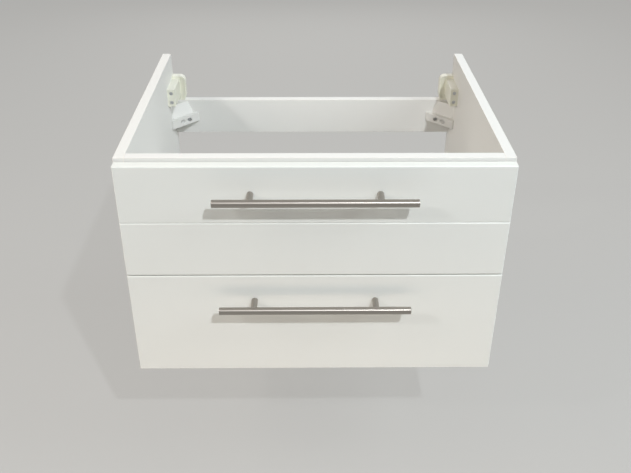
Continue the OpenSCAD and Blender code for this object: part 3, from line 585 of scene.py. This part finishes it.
class VANITY_OT_boards(bpy.types.Operator):
    """Gives the cabinet boards their melamine faces and edge strips"""
    bl_idname = "vanity.boards"
    bl_label = "Cabinet boards"

    def execute(self, context):
        scene = context.scene
        faces = [finish(melamine, scene), finish(edge_strip, scene)]
        for node in ("side_panel_left", "side_panel_right", "bottom_panel", "front_rail",
                     "rear_rail_upper", "rear_rail_lower"):
            eased_copy(node, "banded", scene.vanity_sizes.board_edge, faces,
                       edge_material=1, sort=narrow_faces(node))
        return {"FINISHED"}


class VANITY_OT_fronts(bpy.types.Operator):
    """Lacquers the two drawer fronts"""
    bl_idname = "vanity.fronts"
    bl_label = "Drawer fronts"

    def execute(self, context):
        for drawer in DRAWERS:
            finish_node(f"{drawer}_front", finish(sprayed_lacquer, context.scene))
        return {"FINISHED"}


class VANITY_OT_drawer_boxes(bpy.types.Operator):
    """Wraps the boards of the drawer boxes and lays in their bottoms"""
    bl_idname = "vanity.drawer_boxes"
    bl_label = "Drawer boxes"

    def execute(self, context):
        scene = context.scene
        foil = finish(drawer_foil, scene)
        boards = [f"{drawer}_box_{part}" for drawer in DRAWERS
                  for part in ("front", "side_left", "side_right", "back")]
        for node in boards + ["upper_trap_recess"]:
            eased_copy(node, "wrapped", scene.vanity_sizes.box_edge, [foil])
        for drawer in DRAWERS:
            eased_copy(f"{drawer}_box_bottom", "faced", scene.vanity_sizes.cast_edge,
                       [foil, finish(raw_hardboard, scene)],
                       sort=lambda normals, centres: normals[:, 2] < 0.5)
        return {"FINISHED"}


class VANITY_OT_handles(bpy.types.Operator):
    """Turns the handle bars and their posts"""
    bl_idname = "vanity.handles"
    bl_label = "Handles"

    def execute(self, context):
        sizes = context.scene.vanity_sizes
        steel = [finish(brushed_stainless, context.scene)]
        for drawer in DRAWERS:
            low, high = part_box(f"{drawer}_handle_bar")
            middle, radius = (low + high) / 2, (high.z - low.z) / 2
            bar = self.bar(high.x - low.x, radius, sizes.bar_corner, sizes.bar_steps)
            new_piece(f"{drawer}_bar_brushed", [grid(bar + np.array(middle), wrap=True)], steel,
                      [f"{drawer}_handle_bar"])
            post_low, post_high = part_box(f"{drawer}_handle_posts")
            post_radius = (post_high.z - post_low.z) / 2
            posts = [self.post(x, post_high.y, middle, post_radius, radius, sizes)
                     for x in (post_low.x + post_radius, post_high.x - post_radius)]
            new_piece(f"{drawer}_posts_brushed", [grid(p, wrap=True) for p in posts], steel,
                      [f"{drawer}_handle_posts"])
        return {"FINISHED"}

    def bar(self, whole, radius, corner, steps):
        """A rod with rounded ends: at each end the place is corner (1 - cos a) from the end
        and the radius is the rod's less corner (1 - sin a), with a over a quarter turn."""
        sine, cosine = quarter(7)
        place = np.concatenate([[0, 0], corner * (1 - cosine)])
        ring = np.concatenate([[0, radius - 2 * corner], radius - corner * (1 - sine)])
        return turned(np.concatenate([place - whole / 2, whole / 2 - place[::-1]]),
                      np.concatenate([ring, ring[::-1]]), steps)

    def post(self, x, foot, bar, radius, bar_radius, sizes):
        """A round post from the front to the bar. Its far rim follows the bar, where the
        distance before the bar's axis is the root of (bar radius squared - height squared)."""
        angle = np.linspace(0, 2 * pi, sizes.bar_steps, endpoint=False)
        across, height = np.cos(angle), np.sin(angle)
        seat = bar.y + np.sqrt(bar_radius ** 2 - (radius * height) ** 2) - POST_SEAT
        rows = [(0.0, foot + 0 * angle), (radius - sizes.post_corner, foot + 0 * angle),
                (radius, foot - sizes.post_corner + 0 * angle), (radius, seat),
                (0.0, bar.y + 0 * angle)]
        return np.stack([np.stack([x + r * across, y, bar.z + r * height], axis=-1)
                         for r, y in rows])


class VANITY_OT_hangers(bpy.types.Operator):
    """Moulds the two wall hangers and finishes their steel parts"""
    bl_idname = "vanity.hangers"
    bl_label = "Wall hangers"

    def execute(self, context):
        scene = context.scene
        sizes = scene.vanity_sizes
        for side in SIDES:
            eased_copy(f"hanger_body_{side}", "moulded", sizes.moulded_edge,
                       [finish(natural_nylon, scene)], shortest=4)
            eased_copy(f"hanger_carriage_{side}", "cast", sizes.cast_edge,
                       [finish(die_cast_zinc, scene)], shortest=2)
            eased_copy(f"hanger_hook_{side}", "pressed", sizes.cast_edge,
                       [finish(zinc_plated_steel, scene)], shortest=2)
            for kind in ("depth", "height"):
                finish_node(f"{kind}_screw_{side}", finish(zinc_plated_steel, scene))
        return {"FINISHED"}


class VANITY_OT_corner_braces(bpy.types.Operator):
    """Moulds the two corner braces under the hangers"""
    bl_idname = "vanity.corner_braces"
    bl_label = "Corner braces"

    def execute(self, context):
        for side in SIDES:
            eased_copy(f"corner_brace_{side}", "moulded", context.scene.vanity_sizes.moulded_edge,
                       [finish(moulded_white_plastic, context.scene)],
                       shortest=3)
        return {"FINISHED"}


class VANITY_OT_runners(bpy.types.Operator):
    """Finishes the ball-bearing runners"""
    bl_idname = "vanity.runners"
    bl_label = "Runners"

    def execute(self, context):
        scene = context.scene
        for drawer in DRAWERS:
            for part in ("cabinet", "middle", "drawer"):
                eased_copy(f"{drawer}_runner_{part}_members", "rolled",
                           scene.vanity_sizes.cast_edge, [finish(zinc_plated_steel, scene)])
            finish_node(f"{drawer}_runner_ball_strips", finish(bearing_steel, scene))
        return {"FINISHED"}


class VANITY_OT_fasteners(bpy.types.Operator):
    """Finishes the screws, cams, bolts, dowels and bumpers"""
    bl_idname = "vanity.fasteners"
    bl_label = "Fasteners and bumpers"

    def execute(self, context):
        scene = context.scene
        plated = ["cam_bolts", "corner_brace_screws", "runner_cabinet_screws"]
        plated += [f"{drawer}_{part}" for drawer in DRAWERS
                   for part in ("runner_drawer_screws", "front_screws", "handle_screws")]
        for node in plated:
            finish_node(node, finish(zinc_plated_steel, scene))
        for node in ("panel_dowels", "upper_box_dowels", "lower_box_dowels"):
            finish_node(node, finish(fluted_beech, scene))
        finish_node("cam_housings", finish(die_cast_zinc, scene))
        finish_node("front_bumpers", finish(clear_silicone, scene))
        return {"FINISHED"}


class VANITY_OT_stage(bpy.types.Operator):
    """Lays the floor, sets the lamps and the room light, and places the camera"""
    bl_idname = "vanity.stage"
    bl_label = "Floor, lamps and camera"

    # Places and sizes are in metres, tints are shares of white.
    MAIN_LAMP = (1.20, -2.80, 3.30)
    SECOND_LAMP = (-1.49, -1.29, 1.53)
    SMALL_LAMP = 0.12
    OVERHEAD_HEIGHT = 2.6
    OVERHEAD_SIZE = 3.0
    BOUNCE_CARD = (0.0, -0.54, -0.05)
    BOUNCE_SIZE = (1.0, 0.10)
    SIDE_CARD = (1.60, -0.45, 1.35)
    SIDE_SIZE = (1.0, 1.0)
    REAR_CARD = (0.0, 2.60, 1.20)
    REAR_SIZE = 2.0
    DAYLIGHT = (0.95, 1.00, 1.05)
    COOL = (0.93, 1.02, 1.05)
    WARM = (1.12, 1.00, 0.88)
    BOUNCED = (1.36, 0.97, 0.67)
    NEUTRAL = (1.0, 1.0, 1.0)

    # The floor reaches so far each way and lies so far under the vanity, in metres. The last is
    # the share of its own even tone in what is seen of it.
    FLOOR_HALF = 40.0
    FLOOR_DEPTH = 0.25
    FLOOR_EVENNESS = 0.7

    # In metres, degrees, and millimetres for the lens and the film.
    CAMERA_PLACE = (-0.01242, -1.24009, 0.87953)
    CAMERA_TURN = (58.6496, -0.1751, -0.6237)
    CAMERA_LENS = 44.580
    FILM_WIDTH = 36.0

    def execute(self, context):
        scene = context.scene
        scene.view_settings.view_transform = "Standard"
        self.floor(scene)
        self.room(scene)
        centre = (CAD_BOX[0] + CAD_BOX[1]) / 2
        light = scene.vanity_light
        for name, place, level, tint in (
                ("main lamp", self.MAIN_LAMP, light.main, self.DAYLIGHT),
                ("second lamp", self.SECOND_LAMP, light.second, self.NEUTRAL)):
            lamp = self.lamp(scene, name, place, centre, level, tint)
            lamp.shape, lamp.size = "DISK", self.SMALL_LAMP
        over = Vector((centre.x, centre.y, self.OVERHEAD_HEIGHT))
        lamp = self.lamp(scene, "overhead lamp", over, centre, light.overhead, self.NEUTRAL)
        lamp.shape, lamp.size = "SQUARE", self.OVERHEAD_SIZE
        foot = Vector((centre.x, CAD_BOX[0].y, CAD_BOX[0].z))
        lamp = self.lamp(scene, "bounce card", self.BOUNCE_CARD, foot, light.bounce, self.BOUNCED)
        lamp.shape, lamp.size, lamp.size_y = "RECTANGLE", *self.BOUNCE_SIZE
        bpy.data.objects["bounce card"].visible_glossy = False
        across, back, up = self.SIDE_CARD
        for name, side, level, tint in (("right card", 1, light.right, self.COOL),
                                        ("left card", -1, light.left, self.WARM)):
            lamp = self.lamp(scene, name, (side * across, back, up), centre, level, tint)
            lamp.shape, lamp.size, lamp.size_y = "RECTANGLE", *self.SIDE_SIZE
        lamp = self.lamp(scene, "rear card", self.REAR_CARD, centre, light.rear, self.NEUTRAL)
        lamp.shape, lamp.size = "SQUARE", self.REAR_SIZE
        self.camera(scene)
        return {"FINISHED"}

    def lamp(self, scene, name, place, target, level, tint):
        """An area lamp whose power gives a white surface that faces it the wanted level:
        the level times the square of pi times the distance."""
        data = bpy.data.lights.new(name, "AREA")
        obj = bpy.data.objects.new(name, data)
        scene.collection.objects.link(obj)
        obj.location = place
        away = Vector(place) - target
        obj.rotation_euler = away.to_track_quat("Z", "Y").to_euler()
        data.energy = level * (pi * away.length) ** 2
        data.color = tint
        return data

    def floor(self, scene):
        """A level square some way below the hanging vanity: points at every pair of four X and
        four Y places, with X running along a row, so that the faces point up."""
        places = np.linspace(-self.FLOOR_HALF, self.FLOOR_HALF, 4)
        x, y = np.meshgrid(places, places)
        points, quads, _ = grid(np.stack([x, y, 0 * x - self.FLOOR_DEPTH], axis=-1))
        mesh = bpy.data.meshes.new("floor")
        mesh.from_pydata(points, [], quads.tolist())
        mesh.materials.append(self.floor_paint(scene.vanity_colours))
        obj = bpy.data.objects.new("floor", mesh)
        scene.collection.objects.link(obj)

    def floor_paint(self, colours):
        """Matt painted screed: pale grey, without gloss, and clear when it is seen from below.
        Looked at, its own tone is mixed in evenly, so that it stays pale away from the lamps."""
        material, tree = blank_material("matt floor paint")
        place = add(tree, "TexCoord").outputs["Object"]
        trowel = add(tree, "TexNoise", inputs={
            "Vector": place, "Scale": per_metre(900), "Detail": 2.0})
        tone = add(tree, "Mix", {"data_type": "RGBA"}, {
            "Factor": trowel, "A": darker(colours.floor, 0.985), "B": colours.floor})
        paint = add(tree, "BsdfPrincipled", inputs={
            "Base Color": tone, "Roughness": 0.9, "Specular IOR Level": 0.2})
        even = add(tree, "Emission", inputs={"Color": colours.floor, "Strength": 1.0})
        share = add(tree, "Math", {"operation": "MULTIPLY"}, {
            0: self.looked_at(tree), 1: self.FLOOR_EVENNESS})
        pale = add(tree, "MixShader", inputs={0: share, 1: paint, 2: even})
        clear = add(tree, "BsdfTransparent")
        below = add(tree, "NewGeometry").outputs["Backfacing"]
        both = add(tree, "MixShader", inputs={0: below, 1: pale, 2: clear})
        add(tree, "OutputMaterial", inputs={"Surface": both})
        return material

    def room(self, scene):
        """Even white light from all round. A look out of the scene meets the floor's tone."""
        world = bpy.data.worlds.new("room")
        scene.world = world
        world.use_nodes = True
        tree = world.node_tree
        tree.nodes.clear()
        level = scene.vanity_light.room
        walls = add(tree, "Background", inputs={
            "Color": (*self.NEUTRAL, 1.0), "Strength": level})
        seen = add(tree, "Background", inputs={
            "Color": scene.vanity_colours.floor, "Strength": 1.0})
        mixed = add(tree, "MixShader", inputs={0: self.looked_at(tree), 1: walls, 2: seen})
        add(tree, "OutputWorld", inputs={"Surface": mixed})

    def looked_at(self, tree):
        """One where the camera sees the surface, directly, in a reflection or through glass."""
        ray = add(tree, "LightPath").outputs
        direct = add(tree, "Math", {"operation": "ADD"}, {
            0: ray["Is Camera Ray"], 1: ray["Is Glossy Ray"]})
        return add(tree, "Math", {"operation": "ADD", "use_clamp": True}, {
            0: direct, 1: ray["Is Transmission Ray"]})

    def camera(self, scene):
        """Looks down on the front from a little left of the middle."""
        data = bpy.data.cameras.new("camera")
        data.lens, data.sensor_width = self.CAMERA_LENS, self.FILM_WIDTH
        obj = bpy.data.objects.new("camera", data)
        scene.collection.objects.link(obj)
        obj.location = self.CAMERA_PLACE
        obj.rotation_euler = [radians(angle) for angle in self.CAMERA_TURN]
        scene.camera = obj


PIECES = (VANITY_OT_boards, VANITY_OT_fronts, VANITY_OT_drawer_boxes, VANITY_OT_handles,
          VANITY_OT_hangers, VANITY_OT_corner_braces, VANITY_OT_runners, VANITY_OT_fasteners,
          VANITY_OT_stage)


class VANITY_PT_panel(bpy.types.Panel):
    """Sizes, colours and light of the vanity, and a button for each group of pieces"""
    bl_idname = "VANITY_PT_panel"
    bl_label = "Floating vanity"
    bl_space_type = "VIEW_3D"
    bl_region_type = "UI"
    bl_category = "Vanity"

    def draw(self, context):
        for group in (context.scene.vanity_sizes, context.scene.vanity_colours,
                      context.scene.vanity_light):
            column = self.layout.column()
            for name in group.__annotations__:
                column.prop(group, name)
        for piece in PIECES:
            self.layout.operator(piece.bl_idname)


CLASSES = (VanitySizes, VanityColours, VanityLight, *PIECES, VANITY_PT_panel)


def register():
    for each in CLASSES:
        bpy.utils.register_class(each)
    bpy.types.Scene.vanity_sizes = PointerProperty(type=VanitySizes)
    bpy.types.Scene.vanity_colours = PointerProperty(type=VanityColours)
    bpy.types.Scene.vanity_light = PointerProperty(type=VanityLight)


def unregister():
    del bpy.types.Scene.vanity_sizes, bpy.types.Scene.vanity_colours, bpy.types.Scene.vanity_light
    for each in reversed(CLASSES):
        bpy.utils.unregister_class(each)


def main():
    register()
    for operator in PIECES:
        group, name = operator.bl_idname.split(".")
        getattr(getattr(bpy.ops, group), name)()
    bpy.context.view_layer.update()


if __name__ == "__main__":
    main()
